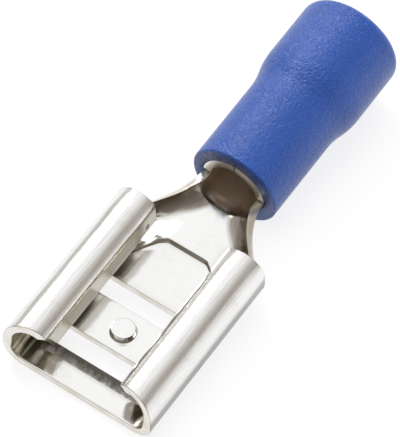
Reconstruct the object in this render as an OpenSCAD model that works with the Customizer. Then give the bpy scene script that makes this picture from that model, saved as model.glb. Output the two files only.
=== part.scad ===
// Female spade terminal for a 6.3 mm tab: one folded tinned sheet with a blue moulded sleeve on
// its crimp barrel. Millimetres. X across, +Y from the tab mouth to the wire end, +Z up.
// The origin is the centre of the mouth, on the floor face that the tab slides on.

/* [Sheet] */
// Thickness of the sheet metal
sheet_t = 0.4; // [0.34:0.02:0.44]

/* [Tab socket] */
// Width of the male tab
tab_w = 6.35; // [6:0.05:6.6]
// Thickness of the male tab
tab_t = 0.81; // [0.7:0.01:0.9]
// Clearance on each side of the tab
tab_gap = 0.15; // [0.1:0.01:0.25]
// How much closer than the tab's thickness the spring legs stand
spring_bite = 0.18; // [0.05:0.01:0.25]
// Length of the folded socket
socket_len = 8.46; // [8.2:0.02:9]
// Height of the rolled wings above the sheet's underside
wing_h = 2.55; // [2.4:0.05:2.8]
// Outer radius of the bend between the floor and a side
corner_r = 0.97; // [0.85:0.01:1.05]
// Outer radius of a wing's roll
roll_r = 1.05; // [0.95:0.01:1.15]
// How far in from the side a spring leg comes down
leg_reach = 1.95; // [1.8:0.05:2.1]
// How far the wing's front edge steps back at the leg
lead_in = 0.57; // [0.3:0.01:0.8]
// How far further back the leg's lower front corner is cut
leg_cut = 0.48; // [0.2:0.02:0.7]

/* [Socket floor] */
// Length of the plain plate in front of the first slot's lip
front_plate = 0.96; // [0.8:0.01:1.05]
// Length of the raised lip in front of the first slot
lip_len = 0.4; // [0.3:0.01:0.5]
// How far the lip's rear edge stands above the floor
lip_rise = 0.28; // [0.1:0.01:0.32]
// Length of each slot across the floor
slot_len = 1.06; // [0.8:0.02:1.2]
// Half the width of the slots
slot_half = 2.6; // [2.3:0.05:2.7]
// Length of the spring bridge between the slots
bridge_len = 1.98; // [1.6:0.02:2.2]
// How far the bridge stands above the floor
bridge_rise = 0.2; // [0.1:0.01:0.28]
// Diameter of the locking button on the bridge
button_d = 1.16; // [0.8:0.02:1.4]
// Height of the locking button above the bridge
button_h = 0.28; // [0.15:0.01:0.32]
// Height of the step that stops the tab
stop_h = 0.3; // [0.15:0.01:0.32]
// Distance of the tab stop from the socket's rear end
stop_back = 0.3; // [0.2:0.01:0.4]

/* [Neck and crimp barrel] */
// Length of the neck between the socket and the barrel
neck_len = 3.14; // [2.6:0.02:3.6]
// Height of the neck's edges above the underside where they leave the socket
neck_edge = 0.4; // [0.3:0.02:0.6]
// Bore of the crimp barrel
barrel_bore = 2.3; // [2:0.05:2.5]
// Length of the crimp barrel
barrel_len = 5; // [4:0.1:6]
// Height of the barrel's axis above the floor face
barrel_z = 0.8; // [0.65:0.01:0.95]
// Gap of the barrel's seam
seam_gap = 0.05; // [0.03:0.01:0.12]

/* [Insulation sleeve] */
// Wall of the sleeve over the barrel
sleeve_wall = 0.56; // [0.45:0.01:0.7]
// Length of the sleeve
sleeve_len = 9.35; // [8.6:0.05:10]
// Outer diameter of the flared wire end
flare_d = 4.82; // [4.7:0.02:5.2]
// Diameter of the wire entry
entry_d = 3.8; // [3.4:0.05:4]
// Distance from the barrel's rear end to the full flare
flare_run = 1.25; // [0.8:0.05:1.6]
// Length of the flare
flare_len = 2; // [1.4:0.05:2.4]
// Radius of the rounded wire-end rim
rim_r = 0.28; // [0.15:0.01:0.3]
// Clearance between the sleeve and the barrel
sleeve_fit = 0.01; // [0:0.005:0.03]

/* [Hidden] */
$fn = 96;
eps = 0.01;
far = 20;
// Small shapes that keep their size
lap = 0.1;
slant_share = 0.8;
crease_share = 0.96;
mouth_bevel = 0.13;
bridge_ramp = 0.5;
button_wall = 0.1;
button_tilt = 6;
stop_half = 0.9;
stop_round = 0.6;
stop_n = 6;
stop_top = 1;
stop_wide = 2.4;
stop_slope = 1.7;
stop_shear = 0.15;
relief_d = 0.26;
rim_gap = 0.05;
front_r = 0.1;
mouth_r = 0.12;
ring_len = 0.2;
// Sizes that follow from the others
socket_w = tab_w + 2 * tab_gap + 2 * sheet_t;
half_w = socket_w / 2;
leg_gap = tab_t - spring_bite;
roll_z = wing_h - sheet_t - roll_r;
crease_x = crease_share * leg_reach;
crease_a = acos((crease_x - roll_r) / roll_r);
crease_z = roll_z + roll_r * sin(crease_a);
slot1_y = front_plate + lip_len;
bridge_y = slot1_y + slot_len;
slot2_y = bridge_y + bridge_len;
stop_y = socket_len - stop_back;
barrel_y = socket_len + neck_len;
barrel_r = barrel_bore / 2 + sheet_t;
sleeve_y = barrel_y + rim_gap;
sleeve_r = barrel_r + sleeve_fit + sleeve_wall;
sleeve_seat = barrel_len - (sleeve_y - barrel_y);
// The neck's facets, and how far its skin lies inside the exact shapes that it joins
arc_n = 6;
ring_n = 18;
skin = 0.03;
neck_sink = 0.2;
neck_flat = 0.03;
neck_level = 0.35;
neck_hold = 0.68;
neck_run = corner_r * sin(acos(1 - neck_edge / corner_r));

// Places its children on the right, and their mirror image on the left.
module both_sides() {
    for (side = [0, 1]) mirror([side, 0, 0]) children();
}

// Extrudes a section drawn in X and Z from y0 to y1.
module along_y(y0, y1) {
    translate([0, y1, 0]) rotate([90, 0, 0]) linear_extrude(y1 - y0) children();
}

// Extrudes a profile drawn in Y and Z from x0 to x1.
module across_x(x0, x1) {
    translate([x0, 0, 0]) rotate([90, 0, 90]) linear_extrude(x1 - x0) children();
}

// The rounded corner between floor and side, a quarter ring.
module floor_corner() {
    intersection() {
        difference() {
            circle(corner_r);
            circle(corner_r - sheet_t);
        }
        translate([0, -corner_r - eps]) square([corner_r + eps, corner_r + eps]);
    }
}

// Everything above low and to the right of the leg's outer face, moved inwards by shift.
module behind_leg(shift, low) {
    x0 = half_w - leg_reach + shift;
    lean = (leg_reach - crease_x) / (crease_z - leg_gap);
    polygon([[x0 + lean * (low - leg_gap), low], [x0 + lean * far, leg_gap + far],
        [half_w + lap, leg_gap + far], [half_w + lap, low]]);
}

// The rolled wing filled in down to the floor, with outer radius r.
module wing_fill(r) {
    translate([half_w - roll_r, roll_z]) circle(r);
    translate([half_w - roll_r - r, 0]) square([2 * r, roll_z]);
}

// The right half of the socket's section: floor, side, rolled wing and spring leg.
module socket_half_section() {
    translate([-eps, -sheet_t]) square([half_w - corner_r + eps, sheet_t]);
    translate([half_w - corner_r, corner_r - sheet_t]) floor_corner();
    translate([half_w - sheet_t, corner_r - sheet_t])
        square([sheet_t, roll_z - corner_r + sheet_t]);
    difference() {
        intersection() {
            wing_fill(roll_r);
            behind_leg(0, leg_gap);
        }
        intersection() {
            wing_fill(roll_r - sheet_t);
            behind_leg(sheet_t, leg_gap - eps);
        }
    }
}

// What the slanted front edge of the right wing leaves out.
module wing_lead_in() {
    slant = slant_share * lead_in / crease_x;
    rise = (1 - slant_share) * lead_in / (crease_z - roll_z + sheet_t);
    translate([half_w, 0, roll_z - sheet_t / 4])
        rotate([-atan(rise / sqrt(1 + slant * slant)), 0, -atan(slant)])
            translate([-leg_reach - 1, -far, corner_r - sheet_t - roll_z])
                cube([leg_reach + 2, far, far]);
    across_x(half_w - leg_reach - eps, half_w - leg_reach + sheet_t + lap)
        polygon([[-1, crease_z], [lead_in, crease_z], [lead_in + leg_cut, leg_gap],
            [lead_in + leg_cut, leg_gap - eps], [-1, leg_gap - eps]]);
}

// The plain folded channel with its slots still closed.
module socket_channel() {
    difference() {
        both_sides() along_y(0, socket_len) socket_half_section();
        both_sides() wing_lead_in();
        // Lead-in along the mouth's floor edge
        across_x(-half_w + corner_r, half_w - corner_r)
            polygon([[-eps, eps], [mouth_bevel, eps], [-eps, -mouth_bevel]]);
        // Both slots, with the bridge and the lip between them cut free
        translate([-slot_half, front_plate, -sheet_t - eps])
            cube([2 * slot_half, slot2_y + slot_len - front_plate, sheet_t + 2 * eps]);
    }
}

// The ramp that lifts the tab onto the bridge.
module lip() {
    across_x(-slot_half - eps, slot_half + eps)
        polygon([[front_plate - eps, 0], [slot1_y, lip_rise],
            [slot1_y, lip_rise - sheet_t], [front_plate - eps, -sheet_t]]);
}

// The raised strip between the slots, with its locking button.
module bridge() {
    top = slot_half - bridge_ramp;
    end = slot_half + lap;
    difference() {
        union() {
            along_y(bridge_y, slot2_y)
                polygon([[-end, -sheet_t], [-end, 0], [-top, bridge_rise], [top, bridge_rise],
                    [end, 0], [end, -sheet_t], [top, bridge_rise - sheet_t],
                    [-top, bridge_rise - sheet_t]]);
            button(button_d, 0);
        }
        button(button_d - 2 * button_wall, -sheet_t);
    }
}

// The locking button's cylinder, its front a little higher, shifted upwards by shift.
module button(d, shift) {
    translate([0, (bridge_y + slot2_y) / 2, shift]) rotate([-button_tilt, 0, 0])
        cylinder(d = d, h = bridge_rise + button_h);
}

// How far the tab stop's front edge runs forward at x: straight, rounded, then diagonal.
function stop_fall(x) = let(past = x - stop_half)
    stop_slope * (past < stop_round ? past * past / (2 * stop_round) : past - stop_round / 2);

// The raised floor's outline, from its front edge back to the neck.
module stop_outline(y0) {
    right = [[stop_wide, far], [stop_wide, y0 - stop_fall(stop_wide)],
        for (i = [stop_n:-1:0]) let(x = stop_half + stop_round * i / stop_n)
            [x, y0 - stop_fall(x)]];
    polygon([each right, each reversed([for (p = right) [-p[0], p[1]]])]);
}

// The half-sheared floor whose front edge stops the tab. It falls off towards the sides,
// and ends where the neck carries it on.
module stop_block(y0, z0) {
    intersection() {
        translate([0, 0, z0 - sheet_t]) linear_extrude(2 * sheet_t + stop_h) stop_outline(y0);
        along_y(0, socket_len)
            polygon([[-half_w, z0 - sheet_t], [-stop_wide, z0 + eps], [-stop_top, z0 + stop_h],
                [stop_top, z0 + stop_h], [stop_wide, z0 + eps], [half_w, z0 - sheet_t]]);
    }
}

// Share of the neck edges' change from socket to barrel that is done at share t of its length.
function ease(t) = 1 - (1 - t) * (1 - t);
// A smooth change from 0 to 1 between the shares from and to.
function blend(t, from, to) = let(u = max(0, min(1, (t - from) / (to - from))))
    u * u * (3 - 2 * u);

// Right half of one face of the neck's section, from the edge to the middle, at height y:
// an arc of the given radius about [flat, centre_z], then the floor with its lift.
function neck_face(y, flat, radius, centre_z, sweep, lift) = let(
    shrink = flat / (half_w - corner_r)
) [
    for (i = [0:arc_n]) let(a = sweep * (1 - i / arc_n))
        [flat + radius * sin(a), y, centre_z - radius * cos(a)],
    [stop_wide * shrink, y, centre_z - radius],
    [stop_top * shrink, y, centre_z - radius + lift]
];
function reversed(list) = [for (i = [len(list) - 1:-1:0]) list[i]];
function mirrored(list) = [for (p = list) [-p[0], p[1], p[2]]];
function neck_section(t, y) = let(
    s = ease(t),
    flat = max(neck_flat, (half_w - corner_r) * (1 - s)),
    lift = stop_h * (1 - blend(t, 0, neck_level)),
    drop = (stop_h + barrel_r - sheet_t - barrel_z) * blend(t, neck_hold, 1),
    low = stop_h - sheet_t - lift - drop,
    rise = neck_edge - sheet_t + (barrel_z - neck_edge + sheet_t) * s - low,
    run = neck_run + (barrel_r - neck_run) * s,
    r = (run * run + rise * rise) / (2 * rise),
    sweep = acos(1 - rise / r),
    outer = neck_face(y, flat, r - skin, low + r, sweep, lift),
    inner = neck_face(y, flat, r - sheet_t + skin, low + r, sweep, lift)
) [each outer, each reversed(mirrored(outer)), each mirrored(inner), each reversed(inner)];

// The sheet between socket and barrel, from the raised floor with low edges to a half round.
module neck() {
    half = 2 * (arc_n + 3);
    count = 2 * half;
    rings = [
        neck_section(0, socket_len - neck_sink),
        for (k = [0:ring_n]) neck_section(k / ring_n, socket_len + k / ring_n * neck_len),
        neck_section(1, barrel_y + neck_sink)
    ];
    last = len(rings) - 1;
    polyhedron(
        points = [for (ring = rings) each ring],
        faces = [
            for (i = [0:half - 2]) [i, i + 1, count - 2 - i, count - 1 - i],
            for (k = [0:last - 1], i = [0:count - 1]) let(j = (i + 1) % count)
                [k * count + i, (k + 1) * count + i, (k + 1) * count + j, k * count + j],
            for (i = [0:half - 2])
                [count - 1 - i, count - 2 - i, i + 1, i] + last * [count, count, count, count]
        ],
        convexity = 6
    );
}

// The rolled wire barrel, with its seam on top and a relief at each end of the free rim.
module barrel() {
    translate([0, barrel_y, barrel_z]) rotate([-90, 0, 0]) difference() {
        cylinder(r = barrel_r, h = barrel_len);
        translate([0, 0, -eps]) cylinder(d = barrel_bore, h = barrel_len + 2 * eps);
        translate([-seam_gap / 2, -barrel_r - eps, -eps])
            cube([seam_gap, barrel_r, barrel_len + 2 * eps]);
    }
}

module terminal() {
    color([0.86, 0.85, 0.83]) difference() {
        union() {
            socket_channel();
            lip();
            bridge();
            neck();
            barrel();
            stop_block(stop_y, 0);
        }
        // The underside follows the raised step
        stop_block(stop_y + stop_shear, -sheet_t);
        // Relief at both ends of the barrel's free rim
        translate([-barrel_r - 1, barrel_y - relief_d / 2, barrel_z])
            rotate([0, 90, 0]) cylinder(d = relief_d, h = 2 * barrel_r + 2);
    }
}

// Outer half section of the sleeve: radius along X, length along Y from its front end.
module sleeve_outline() {
    flare_r = flare_d / 2;
    full = sleeve_seat + flare_run;
    start = full - flare_len;
    middle_r = (sleeve_r + flare_r) / 2;
    blend_r = (pow(flare_len, 2) + pow(flare_r - sleeve_r, 2)) / (4 * (flare_r - sleeve_r));
    square([sleeve_r - front_r, full]);
    translate([0, front_r]) square([sleeve_r, full - front_r]);
    translate([sleeve_r - front_r, front_r]) circle(front_r);
    // The flare is two equal arcs, hollow and then crowned
    difference() {
        translate([0, start]) square([middle_r, flare_len / 2]);
        translate([sleeve_r + blend_r, start]) circle(blend_r);
    }
    intersection() {
        translate([0, start + flare_len / 2 - eps]) square([flare_r, flare_len / 2 + 2 * eps]);
        translate([flare_r - blend_r, full]) circle(blend_r);
    }
    translate([0, full]) square([flare_r, sleeve_len - full - rim_r]);
    translate([0, full]) square([flare_r - rim_r, sleeve_len - full]);
    translate([flare_r - rim_r, sleeve_len - rim_r]) circle(rim_r);
}

// Half section of the sleeve's bore: barrel seat, stop ring, strand funnel and wire entry.
module sleeve_bore() {
    entry_r = entry_d / 2;
    ring_r = barrel_bore / 2;
    ring_end = sleeve_seat + ring_len;
    polygon([
        [-eps, -eps],
        [barrel_r + sleeve_fit, -eps],
        [barrel_r + sleeve_fit, sleeve_seat],
        [ring_r, sleeve_seat],
        [ring_r, ring_end],
        [entry_r, ring_end + entry_r - ring_r],
        [entry_r, sleeve_len + eps],
        [-eps, sleeve_len + eps]
    ]);
    difference() {
        translate([0, sleeve_len - mouth_r]) square([entry_r + mouth_r, mouth_r + eps]);
        translate([entry_r + mouth_r, sleeve_len - mouth_r]) circle(mouth_r);
    }
}

// The moulded sleeve: plain over the barrel, flared behind it, with a funnel for the strands.
module insulation_sleeve() {
    color([0.17, 0.33, 0.72]) translate([0, sleeve_y, barrel_z]) rotate([-90, 0, 0])
        rotate_extrude() difference() {
            sleeve_outline();
            sleeve_bore();
        }
}

terminal();
insulation_sleeve();
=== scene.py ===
"""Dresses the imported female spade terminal: a folded tinned sheet and its blue sleeve."""
import math
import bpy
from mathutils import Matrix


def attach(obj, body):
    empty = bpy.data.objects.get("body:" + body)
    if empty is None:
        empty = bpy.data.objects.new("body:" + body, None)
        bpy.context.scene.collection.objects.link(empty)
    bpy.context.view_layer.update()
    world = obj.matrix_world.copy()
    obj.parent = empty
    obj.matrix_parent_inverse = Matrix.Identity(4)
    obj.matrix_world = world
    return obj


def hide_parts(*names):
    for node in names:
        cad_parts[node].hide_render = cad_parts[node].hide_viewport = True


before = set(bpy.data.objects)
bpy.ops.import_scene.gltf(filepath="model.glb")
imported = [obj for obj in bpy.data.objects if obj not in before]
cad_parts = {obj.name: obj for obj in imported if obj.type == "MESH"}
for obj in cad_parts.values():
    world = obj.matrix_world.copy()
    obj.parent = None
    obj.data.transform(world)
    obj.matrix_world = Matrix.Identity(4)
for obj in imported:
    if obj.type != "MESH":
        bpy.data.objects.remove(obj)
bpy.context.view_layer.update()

from types import SimpleNamespace

import bmesh
import bpy
from bpy.props import FloatProperty, FloatVectorProperty, PointerProperty
from mathutils import Matrix, Vector

bl_info = {
    "name": "Female spade terminal",
    "version": (1, 0, 0),
    "blender": (4, 5, 0),
    "location": "3D View > Sidebar > Terminal",
    "description": "Folds the tinned sheet, turns its blue sleeve and sets up the studio",
    "category": "Object",
}

MM = 0.001


def length(label, about, millimetres):
    """A length property, given in millimetres."""
    return FloatProperty(name=label, description=about, default=millimetres * MM,
                         min=0.0, unit="LENGTH", precision=5)


def colour(label, about, rgb):
    """A colour property."""
    return FloatVectorProperty(name=label, description=about, default=rgb, size=3,
                               min=0.0, max=1.0, subtype="COLOR")


class SheetSizes(bpy.types.PropertyGroup):
    """Sizes of the folded sheet."""
    thickness: length("Thickness", "Thickness of the sheet", 0.4)
    half_width: length("Half width", "Half the socket's width", 3.725)
    socket: length("Socket length", "Length of the folded socket", 8.46)
    wing_height: length("Wing height", "Height of the wings above the underside", 2.55)
    corner: length("Corner radius", "Outer radius between floor and side", 0.97)
    roll: length("Roll radius", "Outer radius of the rolled wings", 1.05)
    leg_reach: length("Leg reach", "How far in from the side a leg comes down", 1.95)
    crease_reach: length("Crease reach", "How far in from the side a leg is creased", 1.872)
    leg_gap: length("Leg gap", "Height of the legs above the floor", 0.63)
    lead_in: length("Lead-in", "How far the wing's front edge steps back", 0.57)
    leg_cut: length("Leg cut", "How far the leg's lower corner is cut back", 0.48)
    front_plate: length("Front plate", "Plain plate in front of the lip", 0.96)
    lip: length("Lip", "Length of the raised lip", 0.4)
    lip_rise: length("Lip rise", "Height of the lip's rear edge above the floor", 0.28)
    slot: length("Slot", "Length of each slot", 1.06)
    slot_half: length("Slot half width", "Half the width of the slots", 2.6)
    bridge: length("Bridge", "Length of the spring bridge", 1.98)
    bridge_rise: length("Bridge rise", "Height of the bridge above the floor", 0.2)
    bridge_ramp: length("Bridge ramp", "Width of the bridge's ramps", 0.5)
    button_radius: length("Button radius", "Radius of the locking button", 0.58)
    button_height: length("Button height", "Height of the locking button", 0.28)
    stop_height: length("Stop height", "Height of the step that stops the tab", 0.3)
    stop_back: length("Stop back", "Distance of the step from the socket's end", 0.3)
    stop_half: length("Stop half width", "Half width of the step's straight part", 0.9)
    stop_round: length("Stop rounding", "Width of the step's rounded corner", 0.6)
    stop_wide: length("Stop reach", "Half width at which the step has run out", 2.4)
    neck: length("Neck", "Length of the neck", 3.14)
    neck_edge: length("Neck edge", "Height of the neck's edges at the socket", 0.4)
    barrel_radius: length("Barrel radius", "Outer radius of the crimp barrel", 1.55)
    barrel: length("Barrel", "Length of the crimp barrel", 5.0)
    barrel_z: length("Barrel height", "Height of the barrel's axis above the floor", 0.8)
    seam: length("Seam", "Gap of the barrel's seam", 0.05)
    edge_round: length("Edge round", "Rounding of the cut edges", 0.06)


class SleeveSizes(bpy.types.PropertyGroup):
    """Sizes of the moulded sleeve."""
    start: length("Start", "Distance of its front end from the mouth", 11.65)
    length: length("Length", "Length of the sleeve", 9.35)
    radius: length("Radius", "Outer radius over the barrel", 2.12)
    flare_radius: length("Flare radius", "Outer radius of the wire end", 2.41)
    flare_end: length("Flare end", "Where the flare reaches its full radius", 6.2)
    flare: length("Flare", "Length of the flare", 2.0)
    seat_radius: length("Seat radius", "Radius of the barrel's seat", 1.56)
    seat: length("Seat", "Depth of the barrel's seat", 4.95)
    ring_radius: length("Ring radius", "Radius of the stop ring", 1.15)
    entry_radius: length("Entry radius", "Radius of the wire entry", 1.9)
    axis_z: length("Axis height", "Height of the sleeve's axis", 0.8)


class Finishes(bpy.types.PropertyGroup):
    """Colours of the finishes, and of the painted shade on the rounded edges."""
    tin: colour("Tin", "Tin plating", (0.86, 0.86, 0.85))
    cut_edge: colour("Cut edge", "Sheared edges", (0.84, 0.83, 0.80))
    # Painted shade for the rounded edges: a dark brown that stands for the shade along them
    painted_edge_shade: colour("Rubbed corner", "Corners of the cut edges, where brass shows",
                   (0.30, 0.24, 0.17))
    blue: colour("Blue", "Moulded sleeve", (0.007, 0.078, 0.41))
    floor: colour("Floor", "Studio floor", (0.26, 0.26, 0.27))


def in_mm(group):
    """A property group's lengths in millimetres."""
    return SimpleNamespace(**{name: getattr(group, name) / MM for name in group.__annotations__})


# ---------------------------------------------------------------- shader maths

class Value:
    """Wraps a socket, so that Python's operators add Math nodes."""

    def __init__(self, shader, socket):
        self.shader, self.socket = shader, socket

    def _math(self, operation, *values):
        return self.shader.node("ShaderNodeMath", {"operation": operation}, *values)

    def __add__(self, other):
        return self._math("ADD", self, other)

    __radd__ = __add__

    def __mul__(self, other):
        return self._math("MULTIPLY", self, other)

    __rmul__ = __mul__

    def __sub__(self, other):
        return self._math("SUBTRACT", self, other)

    def __rsub__(self, other):
        return self._math("SUBTRACT", other, self)


class Shader:
    """The nodes of a material, or of the world."""

    def __init__(self, name, world=None):
        self.owner = world or bpy.data.materials.new(name)
        self.owner.use_nodes = True
        self.tree = self.owner.node_tree
        self.tree.nodes.clear()
        self.output = "ShaderNodeOutputWorld" if world else "ShaderNodeOutputMaterial"

    def node(self, kind, settings=None, *inputs, at=None, out=0, **named):
        """Adds a node: its settings first, then its inputs' values or links.

        Inputs come in order, by number in at, or by name with _ for a space."""
        node = self.tree.nodes.new(kind)
        for key, value in (settings or {}).items():
            if key == "stops":
                ramp = node.color_ramp
                while len(ramp.elements) < len(value):
                    ramp.elements.new(0.5)
                for element, (place, shade) in zip(ramp.elements, value):
                    element.position, element.color = place, (shade, shade, shade, 1.0)
            else:
                setattr(node, key, value)
        for key, value in [*enumerate(inputs), *(at or {}).items(), *named.items()]:
            socket = node.inputs[key.replace("_", " ") if isinstance(key, str) else key]
            if isinstance(value, Value):
                self.tree.links.new(value.socket, socket)
            elif value is not None:
                opaque = isinstance(value, tuple) and len(value) < len(socket.default_value)
                socket.default_value = (*value, 1.0) if opaque else value
        return Value(self, node.outputs[out]) if node.outputs else None

    def noise(self, vector, scale, detail, rough):
        """Noise on a vector, about 0.5."""
        return self.node("ShaderNodeTexNoise", {"noise_dimensions": "3D"}, Vector=vector,
                         Scale=scale, Detail=detail, Roughness=rough)

    def stretched(self, vector, scale):
        """The vector with its axes scaled."""
        return self.node("ShaderNodeVectorMath", {"operation": "MULTIPLY"}, vector, scale)

    def ramp(self, value, *stops):
        """A grey ramp on a value."""
        return self.node("ShaderNodeValToRGB", {"stops": stops}, value)

    def mix(self, factor, one, two):
        """Two colours, mixed. Those are a Mix node's inputs 6 and 7, and its output 2."""
        return self.node("ShaderNodeMix", {"data_type": "RGBA"}, at={0: factor, 6: one, 7: two},
                         out=2)

    def bump(self, height, strength, distance, normal=None):
        """A bump's normal, on top of another one's."""
        return self.node("ShaderNodeBump", None, Strength=strength, Distance=distance,
                         Height=height, Normal=normal)

    def finish(self, surface):
        """Puts the shader on the surface."""
        self.node(self.output, None, Surface=surface)
        return self.owner

    def metal(self, base, rough, normal):
        """Finishes the material as bare metal."""
        return self.finish(self.node("ShaderNodeBsdfPrincipled", None, Base_Color=base,
                                     Metallic=1.0, Roughness=rough, Normal=normal))


# ---------------------------------------------------------------- finishes

# Places on the sheet's map, which holds the flat blank in centimetres: from its middle outwards,
# then from the mouth to the wire end, and where one dent's shade is painted
FLOOR_EDGE, CORNER_MIDDLE, CORNER_BACK, SIDE_START, SIDE_END = 0.27, 0.30, 0.33, 0.430, 0.465
LEG_CREASE = (0.655, 0.662)
TORN_LIP, NECK_START, NECK_WALLS, BORE = 0.118, 0.846, (0.848, 0.86), (1.06, 1.14)
DENT_PLACE, DENT_EDGE = (-0.735, 0.775, 0.0), (0.012, 0.017)
NECK_TAPER, NECK_FLOOR_EDGE = 0.98, (0.26, 0.32)
MAP_UNIT = 10  # millimetres

WORN_TIN = (0.62, 0.58, 0.50)
# Painted shade for the legs and, by the share inside, for the wings' inner faces
PAINTED_INNER_SHADE = (0.42, 0.38, 0.26)
# Painted shade on the inner face of the neck's walls
PAINTED_WALL_SHADE = (0.23, 0.19, 0.15)
# Painted warm brown shade in the barrel's bore
PAINTED_BORE_SHADE = (0.84, 0.73, 0.60)
# Painted shade on the outer face of the corner and side
PAINTED_BEND_SHADE = (0.15, 0.14, 0.13)
# Painted shade of one dent, which the shape doesn't have
PAINTED_DENT_SHADE = (0.13, 0.12, 0.11)
SPOT_SHADE = (0.16, 0.13, 0.11)
BROKEN_SHADE = (0.22, 0.205, 0.185)


def dimmed(tint, *shares):
    """A colour times one share, or times a share for each of its channels."""
    return tuple(c * share for c, share in zip(tint, shares * 3 if len(shares) == 1 else shares))


def blank_map(sh):
    """The flat blank's map, the distance from its middle, and the distance from the mouth."""
    blank = sh.node("ShaderNodeUVMap", {"uv_map": "Blank"})
    across, back = (sh.node("ShaderNodeSeparateXYZ", None, blank, out=axis) for axis in "XY")
    return blank, sh.node("ShaderNodeMath", {"operation": "ABSOLUTE"}, across), back


def tinned(name, tint, inside=0.0):
    """Bright tin plating. On the wings it is drawn lengthwise. The legs get a painted shade, and
    so do the wings' inner faces by the share inside.
    """
    sh = Shader(name)
    blank, across, back = blank_map(sh)
    wings = sh.ramp(across, (FLOOR_EDGE, 0.0), (CORNER_BACK, 1.0))
    leg = sh.ramp(across, (LEG_CREASE[0], 0.0), (LEG_CREASE[1], 1.0))
    drawn = sh.noise(sh.stretched(blank, (40.0, 0.8, 1.0)), 5.0, 3.0, 0.6)
    wave = sh.noise(sh.stretched(blank, (9.0, 1.6, 1.0)), 1.0, 2.0, 0.5)
    grain = sh.noise(blank, 120.0, 3.0, 0.7)
    marks = sh.ramp(drawn, (0.36, 1.0), (0.52, 0.0)) * wings
    flecks = sh.ramp(grain, (0.60, 0.0), (0.72, 1.0)) * wings
    worn = sh.ramp(sh.noise(blank, 9.0, 3.0, 0.6), (0.52, 0.0), (0.74, 1.0))
    spots = sh.ramp(sh.noise(blank, 30.0, 2.0, 0.6), (0.20, 1.0), (0.25, 0.0))
    base = sh.mix(marks * 0.30, tint, dimmed(tint, 0.60))
    base = sh.mix(flecks * 0.30, base, dimmed(tint, 0.60))
    base = sh.mix(worn * 0.20, base, WORN_TIN)
    # Painted shade: on the legs, and on the wings' inner faces by the share inside
    base = sh.mix(leg * 0.60 + wings * inside, base, PAINTED_INNER_SHADE)
    rough = 0.08 + drawn * 0.08 + worn * 0.08 + wings * 0.07
    if inside:
        # Painted shade on the neck's walls and in the bore
        base, bore = paint_neck_shade(sh, blank, across, back, base)
        rough = rough + bore * 0.36
    else:
        # Painted shade on the outer corner and side, and one dent's painted shade
        base = paint_bend_shade(sh, blank, across, base)
    base = sh.mix(spots * 0.85, base, SPOT_SHADE)
    wavy = sh.bump(wave, 1.0, 0.00002)
    fine = sh.bump(drawn * wings * 0.5 + grain * (0.2 + wings * 0.4), 0.45, 0.00002, wavy)
    return sh.metal(base, rough, fine)


def paint_neck_shade(sh, blank, across, back, base):
    """Paints shade on the inner face of the neck's walls, and a warm brown painted shade on the
    barrel's bore. Also gives the bore's mask. The walls start where the neck's floor ends,
    nearer the middle the further back."""
    walls = sh.ramp(across + (back - NECK_START) * NECK_TAPER, (NECK_FLOOR_EDGE[0], 0.0),
                    (NECK_FLOOR_EDGE[1], 1.0))
    half = back * 0.5  # a ramp ends at 1
    neck = sh.ramp(half, (NECK_WALLS[0] / 2, 0.0), (NECK_WALLS[1] / 2, 1.0))
    # Noise that mottles the painted shade on the neck's walls
    painted_shade_mottle = sh.ramp(sh.noise(sh.stretched(blank, (6.0, 3.0, 1.0)), 1.0, 3.0, 0.6),
                   (0.35, 1.0), (0.70, 0.55))
    # Painted shade on the neck's walls
    base = sh.mix(walls * neck * painted_shade_mottle, base, PAINTED_WALL_SHADE)
    # Painted warm brown shade in the bore
    bore = sh.ramp(half, (BORE[0] / 2, 0.0), (BORE[1] / 2, 1.0))
    return sh.mix(bore, base, PAINTED_BORE_SHADE), bore


def paint_bend_shade(sh, blank, across, base):
    """Paints shade on the outer face of the corner and side, and paints one dent's shade on the
    wing.
    """
    # Painted shade, standing for the shaded floor that the corner and side reflect
    painted_bend = sh.ramp(across, (FLOOR_EDGE, 0.0), (CORNER_MIDDLE, 1.0), (SIDE_START, 1.0),
                   (SIDE_END, 0.0))
    base = sh.mix(painted_bend * 0.78, base, PAINTED_BEND_SHADE)
    # Painted shade of one dent, as a dark round patch
    dent = sh.node("ShaderNodeVectorMath", {"operation": "DISTANCE"}, blank, DENT_PLACE,
                   out="Value")
    dent = sh.ramp(dent * 10.0, (DENT_EDGE[0] * 10, 1.0), (DENT_EDGE[1] * 10, 0.0))
    return sh.mix(dent, base, PAINTED_DENT_SHADE)


def torn(name, tint):
    """The lip's broken surface: dark, with bright ridges, and brighter towards its front."""
    sh = Shader(name)
    blank, _, back = blank_map(sh)
    ridges = sh.noise(sh.stretched(blank, (1.5, 1.0, 1.0)), 17.0, 5.0, 0.85)
    bright = sh.ramp(ridges + (TORN_LIP - back) * 7.0, (0.46, 0.0), (0.78, 1.0))
    return sh.metal(sh.mix(bright, BROKEN_SHADE, tint), 0.22 + ridges * 0.3,
                    sh.bump(ridges, 0.9, 0.00012))


def sheared(name, tint):
    """A sheared edge, where brass shows through the tin. Given the dark edge colour, it makes the
    painted shade of the rounded edges.
    """
    sh = Shader(name)
    place = sh.node("ShaderNodeTexCoord", None, out="Object")
    rough = sh.noise(place, 6000.0, 3.0, 0.6)
    patch = sh.ramp(sh.noise(place, 1200.0, 2.0, 0.5), (0.40, 0.0), (0.62, 1.0))
    return sh.metal(sh.mix(patch, tint, dimmed(tint, 0.90, 0.86, 0.76)), 0.28 + rough * 0.2,
                    sh.bump(rough, 0.5, 0.00002))


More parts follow.
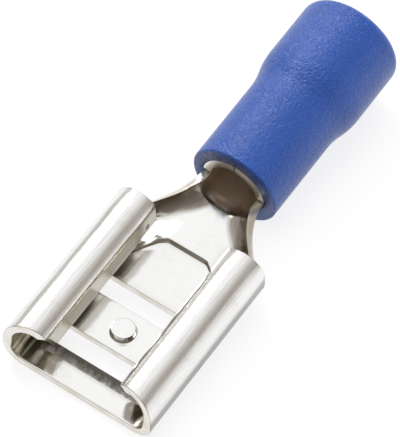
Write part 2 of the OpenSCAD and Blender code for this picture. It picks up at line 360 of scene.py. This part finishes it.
def moulded(name, tint):
    """Moulded plastic with a fine spark-eroded grain: its bumps catch the light, and pale specks
    on its peaks are painted glints.
    """
    sh = Shader(name)
    place = sh.node("ShaderNodeTexCoord", None, out="Object")
    grain = sh.noise(place, 8500.0, 2.0, 0.7)
    mottle = sh.noise(place, 2400.0, 3.0, 0.6)
    band = sh.noise(sh.stretched(place, (1.0, 0.2, 1.0)), 900.0, 2.0, 0.5)
    pale = tuple(min(1.0, c * 1.4 + 0.03) for c in tint)
    base = sh.mix(sh.ramp(band, (0.40, 0.0), (0.66, 1.0)) * 0.25, tint, pale)
    # Painted glints: pale specks on the grain's peaks
    base = sh.mix(sh.ramp(grain, (0.56, 0.0), (0.70, 1.0)) * 0.35, base, pale)
    base = sh.mix(mottle * 0.25, base, dimmed(tint, 0.7))
    height = grain * 0.6 + mottle * 0.4
    return sh.finish(sh.node("ShaderNodeBsdfPrincipled", None, Base_Color=base,
                             Roughness=0.22 + mottle * 0.12, Specular_IOR_Level=0.65,
                             Normal=sh.bump(height, 1.0, 0.00010)))


# ---------------------------------------------------------------- pieces

def add_piece(name, bm, materials, node):
    """Makes a piece of a bmesh that is in millimetres, riding on the root body."""
    bmesh.ops.scale(bm, vec=(MM, MM, MM), verts=bm.verts)
    bmesh.ops.recalc_face_normals(bm, faces=bm.faces)
    mesh = bpy.data.meshes.new(name)
    bm.to_mesh(mesh)
    bm.free()
    mesh.shade_smooth()
    for material in materials:
        mesh.materials.append(material)
    piece = bpy.data.objects.new(name, mesh)
    bpy.context.scene.collection.objects.link(piece)
    piece.modifiers.new("Even shading", "WEIGHTED_NORMAL").keep_sharp = True
    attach(piece, "root")
    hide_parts(node)
    return piece


# Stretches of the section, from the middle outwards
FLOOR, CORNER, SIDE, ROLL, LEG = range(5)
# Bands along the sheet, from the mouth to the wire end
(PLATE, LIP, FRONT_SLOT, BRIDGE, REAR_SLOT, BED, STEP, LANDING, NECK, RELIEF, BARREL,
 END) = range(12)
# The sheet's materials
TIN, SHEARED, PAINTED_EDGE_SHADE, INSIDE, TORN = range(5)
SLACK = 1e-6


def smooth(value):
    """A soft step from 0 to 1."""
    value = min(max(value, 0.0), 1.0)
    return value * value * (3.0 - 2.0 * value)


class Blank:
    """The flat blank's columns and rows, and where folding takes each point.

    A column is (stretch, share, side): one of the section's stretches, how far along it, and
    -1 or 1 for left or right. A row is (band, share). Skin 0 is the sheet's outer face and
    skin 1 its inner one."""

    button_rings = (0.2, 0.36, 0.46, 0.53, 0.58, 0.70, 0.85)
    round_until, round_fade = 0.85, 0.15
    button_slope, button_wall, button_edge = 0.105, 0.1, 0.02
    slant_across, slant_up = 0.8, 0.2
    stop_slope, stop_shear, stop_run, stop_fade = 1.7, 0.15, 0.02, 1.4
    neck_level, neck_hold = 0.35, 0.68
    relief = 0.14

    def __init__(self, d):
        self.d = d
        self.flat = d.half_width - d.corner
        self.roll_z = d.wing_height - d.thickness - d.roll
        self.edge_angle = math.acos(1.0 - d.neck_edge / d.corner)
        self.neck_run = d.corner * math.sin(self.edge_angle)
        self.edge_share = self.edge_angle / (math.pi / 2)
        crease = math.acos((d.crease_reach - d.roll) / d.roll)
        self.crease_z = self.roll_z + d.roll * math.sin(crease)
        self.lean = (d.leg_reach - d.crease_reach) / (self.crease_z - d.leg_gap)
        self.roll_end = (math.pi - crease, self.inner_roll_end())
        half = self.right_columns()
        self.columns = [(a, b, -1) for a, b in reversed(half[1:])] + [(a, b, 1) for a, b in half]
        self.rows = self.row_list()
        self.edge_column = sum(1 for a, b in half if a == FLOOR or
                               (a == CORNER and b <= self.edge_share + SLACK)) - 1
        self.half_count = len(half) - 1

    def right_columns(self):
        """The right half's columns, from the middle to the leg's lower edge."""
        d = self.d
        stations = [0.0, *self.button_rings, 1.0, 1.3, 1.6, 1.85, 2.1, 2.2, 2.3, 2.4, 2.5,
                    d.slot_half, self.flat]
        edge = self.edge_share
        return ([(FLOOR, x) for x in stations]
                + [(CORNER, edge * i / 6) for i in range(1, 7)]
                + [(CORNER, edge + (1.0 - edge) * i / 4) for i in range(1, 5)]
                + [(SIDE, i / 3) for i in range(1, 4)]
                + [(ROLL, i / 18) for i in range(1, 19)]
                + [(LEG, i / 5) for i in range(1, 6)])

    def row_list(self):
        """The rows, from the mouth to the wire end."""
        middle = self.d.bridge / 2
        rings = [r for r in self.button_rings if r < middle - self.button_wall]
        bridge = [0.0] + [(middle - r) / self.d.bridge for r in reversed(rings)] + [0.5] + [
            (middle + r) / self.d.bridge for r in rings]
        shares = {PLATE: [0, 0.15, 0.4, 0.7], LIP: [0, 0.25, 0.5, 0.75], FRONT_SLOT: [0, 0.5],
                  BRIDGE: bridge, REAR_SLOT: [0, 0.5], BED: [0, 0.2, 0.5, 0.8], STEP: [0],
                  LANDING: [0, 0.5], NECK: [i / 32 for i in range(32)], RELIEF: [0, 0.5],
                  BARREL: [0, 0.25, 0.5, 0.75], END: [0]}
        return [(band, share) for band, parts in shares.items() for share in parts]

    def inner_roll_end(self):
        """Where the inner face's roll meets the leg's inner face."""
        d = self.d
        low, high, radius = math.pi / 2, math.pi, d.roll - d.thickness
        for _ in range(50):
            angle = (low + high) / 2
            x = d.half_width - d.roll + radius * math.cos(angle)
            z = self.roll_z + radius * math.sin(angle)
            line = d.half_width - d.leg_reach + d.thickness + self.lean * (z - d.leg_gap)
            low, high = (angle, high) if x > line else (low, angle)
        return (low + high) / 2

    def section(self, stretch, share, skin):
        """X and Z of the socket's section, on its right half."""
        d = self.d
        inset = skin * d.thickness
        if stretch == FLOOR:
            return share, inset - d.thickness
        if stretch == CORNER:
            angle, radius = share * math.pi / 2, d.corner - inset
            return (self.flat + radius * math.sin(angle),
                    d.corner - d.thickness - radius * math.cos(angle))
        if stretch == SIDE:
            low = d.corner - d.thickness
            return d.half_width - inset, low + share * (self.roll_z - low)
        if stretch == ROLL:
            angle, radius = share * self.roll_end[skin], d.roll - inset
            return (d.half_width - d.roll + radius * math.cos(angle),
                    self.roll_z + radius * math.sin(angle))
        top_x, top_z = self.section(ROLL, 1.0, skin)
        foot_x = d.half_width - d.leg_reach + inset
        return top_x + share * (foot_x - top_x), top_z + share * (d.leg_gap - top_z)

    def developed(self, stretch, share):
        """Distance of a column from the middle, measured along the flat blank."""
        d = self.d
        half = d.thickness / 2
        lengths = (self.flat, (d.corner - half) * math.pi / 2,
                   self.roll_z - d.corner + d.thickness, (d.roll - half) * self.roll_end[0],
                   self.crease_z - d.leg_gap)
        if stretch == FLOOR:
            return share
        return sum(lengths[:stretch]) + share * lengths[stretch]

    def stop_front(self, x):
        """Where the step stands: straight in the middle, rounded, then slanting forwards."""
        d = self.d
        past = max(0.0, min(x, d.stop_wide) - d.stop_half)
        fall = past * past / (2 * d.stop_round) if past < d.stop_round \
            else past - d.stop_round / 2
        return d.socket - d.stop_back - self.stop_slope * fall

    def front_edge(self, stretch, share, x, z):
        """How far the wings' and legs' front edges stand back from the mouth."""
        d = self.d
        if stretch == LEG:
            return d.lead_in + share * d.leg_cut
        if stretch < SIDE:
            return 0.0
        rise = self.slant_up * d.lead_in / (self.crease_z - self.roll_z + d.thickness)
        return max(0.0, self.slant_across * d.lead_in / d.crease_reach * (d.half_width - x)
                   + rise * (z - self.roll_z + d.thickness / 4))

    def anchors(self, stretch, share, skin):
        """Where this column's bands begin, along Y."""
        d = self.d
        x, z = self.section(stretch, share, skin)
        slot1 = d.front_plate + d.lip
        slot2 = slot1 + d.slot + d.bridge
        stop = self.stop_front(x if stretch == FLOOR else self.flat) \
            + (0.0 if skin else self.stop_shear)
        front = self.front_edge(stretch, share, x, z)
        bands = [front + (d.socket - front) * y / d.socket for y in (
            0.0, d.front_plate, slot1, slot1 + d.slot, slot2, slot2 + d.slot,
            stop - self.stop_run, stop + self.stop_run, d.socket)]
        neck_end = d.socket + d.neck
        return bands + [neck_end, neck_end + self.relief, neck_end + d.barrel,
                        neck_end + d.barrel]

    def along(self, stretch, share, row, skin):
        """Y of a point of the blank."""
        band, part = row
        places = self.anchors(stretch, share, skin)
        return places[band] + part * (places[min(band + 1, END)] - places[band])

    def lift(self, x, y_from_middle, row, skin):
        """How far lip, bridge, button and step stand above the floor."""
        d = self.d
        band, part = row
        ends = smooth((d.slot_half - x) / d.bridge_ramp)
        if band == LIP:
            return d.lip_rise * part * ends
        if band == FRONT_SLOT and part == 0:
            return d.lip_rise * ends
        if on_bridge(row):
            ring = max(x, abs(y_from_middle)) + (0.0 if skin else self.button_wall)
            button = d.button_height - self.button_slope * y_from_middle
            return d.bridge_rise * ends + (
                button if ring < d.button_radius - self.button_edge else 0.0)
        if band >= LANDING:
            return d.stop_height * smooth((d.stop_wide - x) / self.stop_fade)
        return 0.0

    def folded(self, index, row, skin):
        """The folded place of a point of the blank."""
        stretch, share, side = self.columns[index]
        y = self.along(stretch, share, row, skin)
        if row[0] < NECK or row == (NECK, 0):
            x, y, z = self.in_socket(stretch, share, y, row, skin)
        else:
            x, z = self.in_neck(index, y if row[0] == NECK else None, skin)
        return side * x, y, z

    def in_socket(self, stretch, share, y, row, skin):
        """The folded place of a point in front of the neck, on the right half."""
        d = self.d
        x, z = self.section(stretch, share, skin)
        if stretch == FLOOR:
            middle = d.front_plate + d.lip + d.slot + d.bridge / 2
            z += self.lift(x, y - middle, row, skin)
            if on_bridge(row):
                x, y = self.round_button(x, y, middle)
        return x, y, z

    def round_button(self, x, y, middle):
        """Moves a square ring about the bridge's middle onto a circle."""
        dy = y - middle
        square, far = max(abs(x), abs(dy)), math.hypot(x, dy)
        if far < SLACK:
            return x, y
        scale = 1.0 + smooth((self.round_until - square) / self.round_fade) * (square / far - 1.0)
        return x * scale, middle + dy * scale

    def in_neck(self, index, y, skin):
        """X and Z of a point of the neck, or of the barrel where y is None, on the right half.

        The section is a flat floor between two arcs. Along the neck the floor narrows to
        nothing while the arcs grow into the barrel's half round."""
        d = self.d
        stretch, share, _ = self.columns[index]
        t = 1.0 if y is None else (y - d.socket) / d.neck
        s = 1.0 - (1.0 - t) ** 2
        flat = self.flat * (1.0 - s)
        level = smooth(t / self.neck_level)
        drop = smooth((t - self.neck_hold) / (1.0 - self.neck_hold))
        low = d.stop_height * level - d.thickness - drop * (
            d.stop_height + d.barrel_radius - d.thickness - d.barrel_z)
        rise = d.neck_edge - d.thickness + (d.barrel_z - d.neck_edge + d.thickness) * s - low
        run = self.neck_run + (d.barrel_radius - self.neck_run) * s
        radius = (run * run + rise * rise) / (2 * rise)
        sweep = math.acos(1.0 - rise / radius)
        middle_r = radius - d.thickness / 2
        raised = 0.0
        beyond = abs(index - self.half_count) - self.edge_column
        if beyond > 0:
            part = beyond / (self.half_count - self.edge_column)
            angle = math.pi / 2 * (1.0 + part) - d.seam / 2 / middle_r * part
        else:
            whole = self.flat + (d.corner - d.thickness / 2) * self.edge_angle
            along = self.developed(stretch, share) / whole * (flat + middle_r * sweep)
            angle = max(0.0, (along - flat) / middle_r)
            flat = min(flat, along)
            if stretch == FLOOR:
                raised = self.lift(share, 0.0, (NECK, 0.0), skin) * (1.0 - level)
        r = radius - skin * d.thickness
        return flat + r * math.sin(angle), low + radius - r * math.cos(angle) + raised

    def removed(self, column, row):
        """Whether the blank is cut away between this column and row and the next ones."""
        band = self.rows[row][0]
        reach = max(abs(column - self.half_count), abs(column + 1 - self.half_count))
        if band in (FRONT_SLOT, REAR_SLOT):
            stretch, share, _ = self.columns[self.half_count + reach]
            return stretch == FLOOR and share <= self.d.slot_half + SLACK
        if band == NECK:
            return reach > self.edge_column
        return band == RELIEF and self.edge_column < reach <= self.edge_column + 2


def on_bridge(row):
    """Whether a row is on the bridge, its rear edge included."""
    return row[0] == BRIDGE or row == (REAR_SLOT, 0)


class TERMINAL_OT_sheet(bpy.types.Operator):
    """Cuts the blank, folds it and finishes it in tin"""
    bl_idname = "terminal.sheet"
    bl_label = "Folded sheet"

    sharp_angle = 0.7
    lip_inset = 0.1

    def execute(self, context):
        scene = context.scene
        d, tones = in_mm(scene.sheet_sizes), scene.finishes
        tin = tuple(tones.tin)
        bm = bmesh.new()
        self.paint(bm, d, *self.fold(bm, Blank(d)))
        self.round_edges(bm, d)
        add_piece("folded_sheet", bm,
                  [tinned("tin_plating", tin), sheared("sheared_edge", tuple(tones.cut_edge)),
                   # The inner skin takes 0.75 of the painted shade on its wings
                   # The rounded edges get the painted edge shade
                   sheared("rubbed_corner", tuple(tones.painted_edge_shade)), tinned("tin_inside", tin, 0.75),
                   torn("torn_lip", tin)], "terminal")
        return {"FINISHED"}

    def fold(self, bm, blank):
        """Cuts the flat blank, maps it, gives it its thickness and folds it. Returns the faces
        of its outer and its inner skin."""
        across, down = len(blank.columns) - 1, len(blank.rows) - 1

        def cell(v):
            return round((v.co.x + 1) / 2 * across), round((v.co.y + 1) / 2 * down)

        bmesh.ops.create_grid(bm, x_segments=across, y_segments=down, size=1.0)
        cut = [f for f in bm.faces if blank.removed(min(cell(v)[0] for v in f.verts),
                                                    min(cell(v)[1] for v in f.verts))]
        bmesh.ops.delete(bm, geom=cut, context="FACES")
        uv = bm.loops.layers.uv.new("Blank")
        for face in bm.faces:
            for loop in face.loops:
                column, row = cell(loop.vert)
                stretch, share, side = blank.columns[column]
                loop[uv].uv = (side * blank.developed(stretch, share) / MAP_UNIT,
                               blank.along(stretch, share, blank.rows[row], 1) / MAP_UNIT)
        outer, outer_verts = bm.faces[:], bm.verts[:]
        made = bmesh.ops.extrude_face_region(bm, geom=outer, use_keep_orig=True)
        inner = {g for g in made["geom"] if isinstance(g, bmesh.types.BMFace)}
        inner_verts = [g for g in made["geom"] if isinstance(g, bmesh.types.BMVert)]
        for skin, verts in enumerate((outer_verts, inner_verts)):
            for v in verts:
                column, row = cell(v)
                v.co = blank.folded(column, blank.rows[row], skin)
        return set(outer), inner

    def paint(self, bm, d, outer, inner):
        """Gives each face its material: skins, cut edges and the lip's torn surface."""
        lip_half = d.slot_half - self.lip_inset
        for face in bm.faces:
            middle = face.calc_center_median()
            if face not in inner and face not in outer:
                face.material_index = SHEARED
            elif d.front_plate < middle.y < d.front_plate + d.lip \
                    and abs(middle.x) < lip_half and middle.z < d.leg_gap / 2:
                face.material_index = TORN
            else:
                face.material_index = INSIDE if face in inner else TIN

    def round_edges(self, bm, d):
        """Rounds the sharp edges, and gives the rounding a painted shade in dark brown."""
        bm.normal_update()
        bmesh.ops.recalc_face_normals(bm, faces=bm.faces)
        sharp = [e for e in bm.edges if e.is_manifold and e.calc_face_angle(0) > self.sharp_angle]
        made = bmesh.ops.bevel(bm, geom=sharp, offset=d.edge_round, offset_type="OFFSET",
                               segments=2, profile=0.5, affect="EDGES", clamp_overlap=True,
                               material=-1)
        # The rounding gets the painted edge shade
        for face in made["faces"]:
            face.material_index = PAINTED_EDGE_SHADE


def arc(centre, radius, start, end, steps):
    """Points on an arc, between two angles in degrees."""
    turns = (math.radians(start + (end - start) * i / steps) for i in range(steps + 1))
    return [(centre[0] + radius * math.cos(a), centre[1] + radius * math.sin(a)) for a in turns]


def sleeve_profile(d):
    """Half section of the sleeve as (radius, distance from its front end), closed."""
    front, rim, mouth, ring = 0.1, 0.48, 0.02, 0.2
    rise = d.flare_radius - d.radius
    blend = (d.flare ** 2 + rise ** 2) / (4 * rise)
    turn = math.degrees(math.asin(d.flare / 2 / blend))
    start = d.flare_end - d.flare
    funnel = d.seat + ring + d.entry_radius - d.ring_radius
    return ([(d.seat_radius, 0.0)]
            + arc((d.radius - front, front), front, -90, 0, 5)
            + arc((d.radius + blend, start), blend, 180, 180 - turn, 12)
            + arc((d.flare_radius - blend, d.flare_end), blend, -turn, 0, 12)[1:]
            + arc((d.flare_radius - rim, d.length - rim), rim, 0, 90, 8)
            + arc((d.entry_radius + mouth, d.length - mouth), mouth, 90, 180, 5)
            + [(d.entry_radius, funnel), (d.ring_radius, d.seat + ring), (d.ring_radius, d.seat),
               (d.seat_radius, d.seat)])


class TERMINAL_OT_sleeve(bpy.types.Operator):
    """Turns the moulded sleeve about the barrel's axis"""
    bl_idname = "terminal.sleeve"
    bl_label = "Insulation sleeve"

    def execute(self, context):
        scene = context.scene
        d = in_mm(scene.sleeve_sizes)
        bm = bmesh.new()
        outline = [bm.verts.new((radius, d.start + y, d.axis_z))
                   for radius, y in sleeve_profile(d)]
        ring = [bm.edges.new((a, b)) for a, b in zip(outline, outline[1:] + outline[:1])]
        bmesh.ops.spin(bm, geom=outline + ring, cent=(0, 0, d.axis_z), axis=(0, 1, 0),
                       angle=2 * math.pi, steps=128, use_merge=True)
        bmesh.ops.remove_doubles(bm, verts=bm.verts, dist=1e-5)
        add_piece("blue_sleeve", bm, [moulded("blue_moulding", tuple(scene.finishes.blue))],
                  "insulation_sleeve")
        return {"FINISHED"}


# ---------------------------------------------------------------- studio

def add_lamp(name, place, target, size, power):
    """A square soft lamp that looks at its target. Places and sizes are in millimetres."""
    lamp = bpy.data.lights.new(name, "AREA")
    lamp.size, lamp.energy = size * MM, power
    made = bpy.data.objects.new(name, lamp)
    bpy.context.scene.collection.objects.link(made)
    made.location = Vector(place) * MM
    made.rotation_euler = (Vector(target) - Vector(place)).to_track_quat("-Z", "Y").to_euler()
    return made


class TERMINAL_OT_stage(bpy.types.Operator):
    """Sets up the pale floor, the soft light and the camera"""
    bl_idname = "terminal.stage"
    bl_label = "Studio"

    floor_reach = 1500.0
    floor_glow = 0.80
    soft_box = (-0.35, 0.47, 0.81)
    low_strip = (0.95, 0.30, 0.0)
    room_level = 1.06
    room_shade = (1.0, 0.86, 0.72)

    def execute(self, context):
        scene = context.scene
        self.floor(scene)
        self.world(scene)
        self.lights()
        self.camera(scene)
        scene.view_settings.view_transform = "Standard"
        return {"FINISHED"}

    def floor(self, scene):
        """A pale plane that the mouth's lower edge and the front of the sleeve rest on."""
        sheet, sleeve = in_mm(scene.sheet_sizes), in_mm(scene.sleeve_sizes)
        mouth = Vector((0, 0, -sheet.thickness))
        slope = min(math.atan2(sleeve.axis_z - radius - mouth.z, sleeve.start + y)
                    for radius, y in sleeve_profile(sleeve))
        bm = bmesh.new()
        bmesh.ops.create_grid(bm, x_segments=1, y_segments=1, size=self.floor_reach)
        turn = Matrix.Translation(mouth) @ Matrix.Rotation(slope, 4, "X")
        bmesh.ops.transform(bm, matrix=turn, verts=bm.verts)
        bmesh.ops.scale(bm, vec=(MM, MM, MM), verts=bm.verts)
        mesh = bpy.data.meshes.new("studio_floor")
        bm.to_mesh(mesh)
        bm.free()
        mesh.materials.append(self.floor_paint(tuple(scene.finishes.floor)))
        plane = bpy.data.objects.new("studio_floor", mesh)
        scene.collection.objects.link(plane)

    def floor_paint(self, tint):
        """A matt floor that also glows to white for the camera and in reflections."""
        sh = Shader("studio_floor_paint")
        camera, glossy, transmission = (
            sh.node("ShaderNodeLightPath", None, out=f"Is {kind} Ray")
            for kind in ("Camera", "Glossy", "Transmission"))
        seen = sh.node("ShaderNodeMath", {"operation": "MINIMUM"},
                       camera + glossy + transmission, 1.0)
        matt = sh.node("ShaderNodeBsdfDiffuse", None, Color=tint)
        glow = sh.node("ShaderNodeEmission", None, Color=sh.mix(seen, (0, 0, 0), (1, 1, 1)),
                       Strength=self.floor_glow)
        return sh.finish(sh.node("ShaderNodeAddShader", None, matt, glow))

    def world(self, scene):
        """The room beyond the floor: a wide soft box up at the back left, a bright strip low
        on the right and a darker room towards the front."""
        scene.world = bpy.data.worlds.new("studio_air")
        sh = Shader("studio_air", scene.world)
        toward = sh.node("ShaderNodeTexCoord", None, out="Generated")

        def lobe(direction, *stops):
            along = sh.node("ShaderNodeVectorMath", {"operation": "DOT_PRODUCT"}, toward,
                            tuple(Vector(direction).normalized()), out="Value")
            return sh.ramp(along * 0.5 + 0.5, *stops)

        box = lobe(self.soft_box, (0.0, 0.17), (0.50, 0.24), (0.70, 0.38), (0.80, 0.46),
                   (0.87, 0.66), (0.93, 0.88), (0.985, 1.0))
        strip = lobe(self.low_strip, (0.90, 0.0), (0.942, 0.66), (0.976, 0.81), (0.995, 0.94))
        level = sh.node("ShaderNodeMath", {"operation": "MAXIMUM"}, box, strip)
        shade = sh.mix(level, self.room_shade, (1, 1, 1))
        sh.finish(sh.node("ShaderNodeBackground", None, sh.mix(level, (0, 0, 0), shade),
                          self.room_level))

    def lights(self):
        """A key lamp that the tin mirrors, and three lamps that it doesn't."""
        middle = (0, 10, 0)
        add_lamp("key", (-126, 97, 128), middle, 60, 0.13)
        for name, place, size, power in (("overhead", (-30, 60, 200), 160, 0.10),
                                         ("left_fill", (-200, -20, 90), 120, 0.04),
                                         ("right_fill", (200, 50, 50), 120, 0.12)):
            add_lamp(name, place, middle, size, power).visible_glossy = False

    def camera(self, scene):
        """The camera looks down at the mouth from its right, turned a little about its view."""
        azimuth, elevation, roll = (math.radians(a) for a in (33.66, 58.47, 0.75))
        away, aim_right, aim_up, aim_z = 161.066, 5.1265, 7.4222, -0.4
        ahead = Vector((-math.sin(azimuth) * math.cos(elevation),
                        math.cos(azimuth) * math.cos(elevation), -math.sin(elevation)))
        level = Vector((math.cos(azimuth), math.sin(azimuth), 0))
        right = Matrix.Rotation(roll, 3, -ahead) @ level
        up = right.cross(ahead)
        place = right * aim_right + up * aim_up + Vector((0, 0, aim_z)) - ahead * away
        data = bpy.data.cameras.new("view")
        data.sensor_width, data.lens = 36.0, 319.6
        data.clip_start, data.clip_end = 0.01, 10.0
        made = bpy.data.objects.new("view", data)
        scene.collection.objects.link(made)
        made.matrix_world = Matrix.Translation(place * MM) @ Matrix(
            (right, up, -ahead)).transposed().to_4x4()
        scene.camera = made


class TERMINAL_PT_panel(bpy.types.Panel):
    """Lists the pieces and the studio"""
    bl_label = "Female spade terminal"
    bl_idname = "TERMINAL_PT_panel"
    bl_space_type = "VIEW_3D"
    bl_region_type = "UI"
    bl_category = "Terminal"

    def draw(self, context):
        for operator in (TERMINAL_OT_sheet, TERMINAL_OT_sleeve, TERMINAL_OT_stage):
            self.layout.operator(operator.bl_idname)
        for group in (context.scene.sheet_sizes, context.scene.sleeve_sizes,
                      context.scene.finishes):
            box = self.layout.box()
            for name in group.__annotations__:
                box.prop(group, name)


CLASSES = (SheetSizes, SleeveSizes, Finishes, TERMINAL_OT_sheet, TERMINAL_OT_sleeve,
           TERMINAL_OT_stage, TERMINAL_PT_panel)


def register():
    for item in CLASSES:
        bpy.utils.register_class(item)
    bpy.types.Scene.sheet_sizes = PointerProperty(type=SheetSizes)
    bpy.types.Scene.sleeve_sizes = PointerProperty(type=SleeveSizes)
    bpy.types.Scene.finishes = PointerProperty(type=Finishes)


def unregister():
    for name in ("finishes", "sleeve_sizes", "sheet_sizes"):
        delattr(bpy.types.Scene, name)
    for item in reversed(CLASSES):
        bpy.utils.unregister_class(item)


def main():
    register()
    bpy.ops.terminal.sheet()
    bpy.ops.terminal.sleeve()
    bpy.ops.terminal.stage()


if __name__ == "__main__":
    main()
